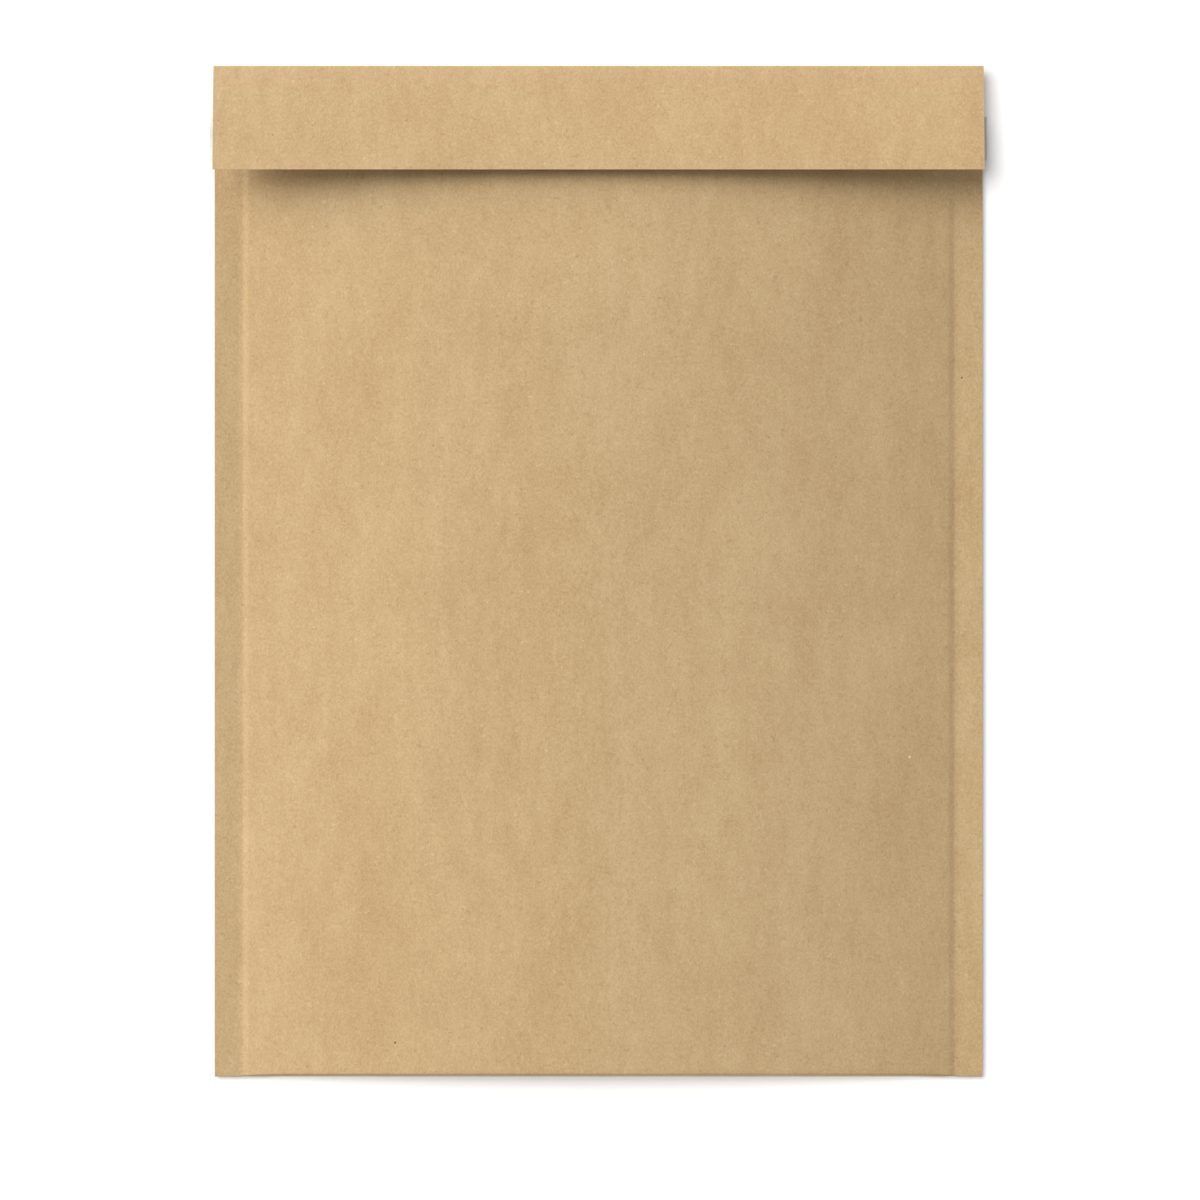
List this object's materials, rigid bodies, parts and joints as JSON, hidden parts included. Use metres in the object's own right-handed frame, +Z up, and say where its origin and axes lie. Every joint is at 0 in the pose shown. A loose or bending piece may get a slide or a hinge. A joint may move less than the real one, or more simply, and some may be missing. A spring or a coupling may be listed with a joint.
{
  "type": "padded envelope",
  "caption": "Kraft paper mailing envelope lined with bubble film, lying empty with its self-seal flap folded over the mouth.",
  "frame": {"origin": "on the table under the middle of the envelope", "axes": "+X across the width, +Y along the length towards the mouth and the flap's crease, +Z up from the table through the front panel"},
  "size_m": [0.268, 0.35, 0.0159],
  "materials": {
    "kraft_paper": "unbleached kraft, matte, fine streaks along the length and sparse dark and light fibres",
    "bubble_film": "clear soft polyethylene, glossy",
    "hot_melt_glue": "pale amber pressure-sensitive glue, tacky and glossy",
    "release_paper": "white silicone-coated release paper, satin"
  },
  "bodies": {
    "root": {"kraft_shell": "kraft_paper", "bubble_lining": "bubble_film", "adhesive_strip": "hot_melt_glue", "release_liner": "release_paper"}
  },
  "joints": []
}
